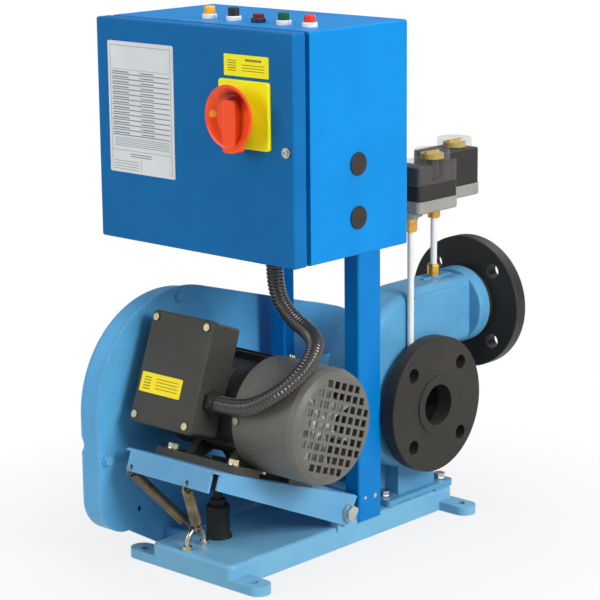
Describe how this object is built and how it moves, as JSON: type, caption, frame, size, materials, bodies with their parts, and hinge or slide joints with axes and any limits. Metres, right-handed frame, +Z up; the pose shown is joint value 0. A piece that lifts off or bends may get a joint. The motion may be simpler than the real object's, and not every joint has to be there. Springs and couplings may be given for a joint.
{
  "type": "gas booster",
  "caption": "Centrifugal gas booster: belt-driven blower and tilting motor platform on a cast base, belt guard, pressure switches and a control cabinet on posts",
  "frame": {"origin": "centre of the cast base's underside, on the floor", "axes": "+X to the right along the cabinet's front, +Y to the rear outlet, +Z up"},
  "size_m": [0.302, 0.5206, 0.638],
  "materials": {
    "base_paint": "satin",
    "cabinet_blue": "satin",
    "post_blue": "satin",
    "black_cast": "satin",
    "motor_grey": "satin",
    "bright_steel": "brushed",
    "galvanised": "satin",
    "rubber_black": "matte",
    "belt": "matte",
    "copper_core": "satin",
    "black_plastic": "matte",
    "white_plastic": "matte",
    "red_plastic": "gloss",
    "green_plastic": "gloss",
    "dark_red_plastic": "gloss",
    "yellow_plastic": "gloss",
    "plate_metal": "satin",
    "brass": "satin",
    "tube_grey": "satin",
    "switch_grey": "satin",
    "clear_cover": "clear",
    "foam": "matte"
  },
  "bodies": {
    "frame": {"base_plate": "base_paint", "cabinet_posts": "post_blue", "frame_bolts": "bright_steel", "pivot_bolts": "bright_steel", "guard_cover": "base_paint", "guard_backplate": "base_paint", "guard_brackets": "base_paint", "blower_volute": "base_paint", "inlet_flange": "black_cast", "outlet_flange": "black_cast", "bearing_housing": "base_paint", "blower_bearings": "bright_steel", "cabinet_gland": "black_plastic", "u_bolt": "galvanised", "rubber_buffer": "rubber_black", "buffer_stop": "rubber_black", "cabinet_body": "cabinet_blue", "mounting_plate": "galvanised", "control_gear": "black_plastic", "blank_plugs": "black_plastic", "top_bezels": "white_plastic", "lamp_lenses": "red_plastic", "hinge_pins": "cabinet_blue", "switch_bases": "switch_grey", "switch_bodies": "black_plastic", "switch_covers": "clear_cover", "sensing_tubes": "tube_grey", "tube_fittings": "brass"},
    "platform": {"motor_platform": "post_blue", "motor_frame": "motor_grey", "stator_core": "copper_core", "end_shields": "motor_grey", "motor_bearings": "bright_steel", "fan_cowl": "motor_grey", "motor_screws": "bright_steel", "terminal_box": "motor_grey", "terminal_lid": "motor_grey", "motor_gland": "black_plastic", "drive_belt": "belt", "conduit": "rubber_black", "spring_right": "galvanised", "spring_left": "galvanised"},
    "motor_rotor": {"rotor_shaft": "bright_steel", "motor_fan": "white_plastic", "motor_pulley": "black_cast"},
    "blower_rotor": {"blower_shaft": "bright_steel", "impeller": "plate_metal", "blower_pulley": "black_cast"},
    "door_leaf": {"door": "cabinet_blue", "door_gasket": "foam", "door_plates": "plate_metal", "isolator_plate": "yellow_plastic", "lock_body": "bright_steel"},
    "isolator": {"isolator_handle": "red_plastic"},
    "lock_core": {"lock_barrel": "bright_steel"},
    "reset_push": {"reset_button": "black_plastic"},
    "stop_push": {"stop_button": "dark_red_plastic"},
    "start_push": {"start_button": "green_plastic"},
    "inlet_setting": {"inlet_dial": "yellow_plastic"},
    "outlet_setting": {"outlet_dial": "yellow_plastic"}
  },
  "joints": [
    {"name": "platform_tilt", "type": "hinge", "parent": "frame", "child": "platform", "pos_m": [0, -0.0083, 0.0443], "axis": [-1, 0, 0], "range_deg": [0, 6], "deforming": ["spring_right", "spring_left", "drive_belt", "conduit"]},
    {"name": "motor_spin", "type": "hinge", "parent": "platform", "child": "motor_rotor", "pos_m": [0, -0.10848, 0.18218], "axis": [1, 0, 0], "continuous": true},
    {"name": "blower_spin", "type": "hinge", "parent": "frame", "child": "blower_rotor", "pos_m": [0, 0.132, 0.149], "axis": [1, 0, 0], "continuous": true},
    {"name": "door_hinge", "type": "hinge", "parent": "frame", "child": "door_leaf", "pos_m": [-0.147, -0.1585, 0.499], "axis": [0, 0, -1], "range_deg": [0, 90]},
    {"name": "isolator_turn", "type": "hinge", "parent": "door_leaf", "child": "isolator", "pos_m": [0.0815, -0.185, 0.534], "axis": [0, -1, 0], "range_deg": [0, 90]},
    {"name": "lock_turn", "type": "hinge", "parent": "door_leaf", "child": "lock_core", "pos_m": [0.1407, -0.181, 0.4988], "axis": [0, -1, 0], "range_deg": [0, 90]},
    {"name": "reset_press", "type": "slide", "parent": "frame", "child": "reset_push", "axis": [0, 0, -1], "range_m": [0, 0.004], "stiffness_N_per_m": 400, "springref_m": -0.0005},
    {"name": "stop_press", "type": "slide", "parent": "frame", "child": "stop_push", "axis": [0, 0, -1], "range_m": [0, 0.004], "stiffness_N_per_m": 400, "springref_m": -0.0005},
    {"name": "start_press", "type": "slide", "parent": "frame", "child": "start_push", "axis": [0, 0, -1], "range_m": [0, 0.004], "stiffness_N_per_m": 400, "springref_m": -0.0005},
    {"name": "inlet_setting_turn", "type": "hinge", "parent": "frame", "child": "inlet_setting", "pos_m": [0.069, 0.148, 0.444], "axis": [0, 0, 1], "range_deg": [-135, 135]},
    {"name": "outlet_setting_turn", "type": "hinge", "parent": "frame", "child": "outlet_setting", "pos_m": [0.035, 0.233, 0.444], "axis": [0, 0, 1], "range_deg": [-135, 135]}
  ],
  "couplings": [
    {"joint": "blower_spin", "follows": "motor_spin", "ratio": 1.7857}
  ]
}
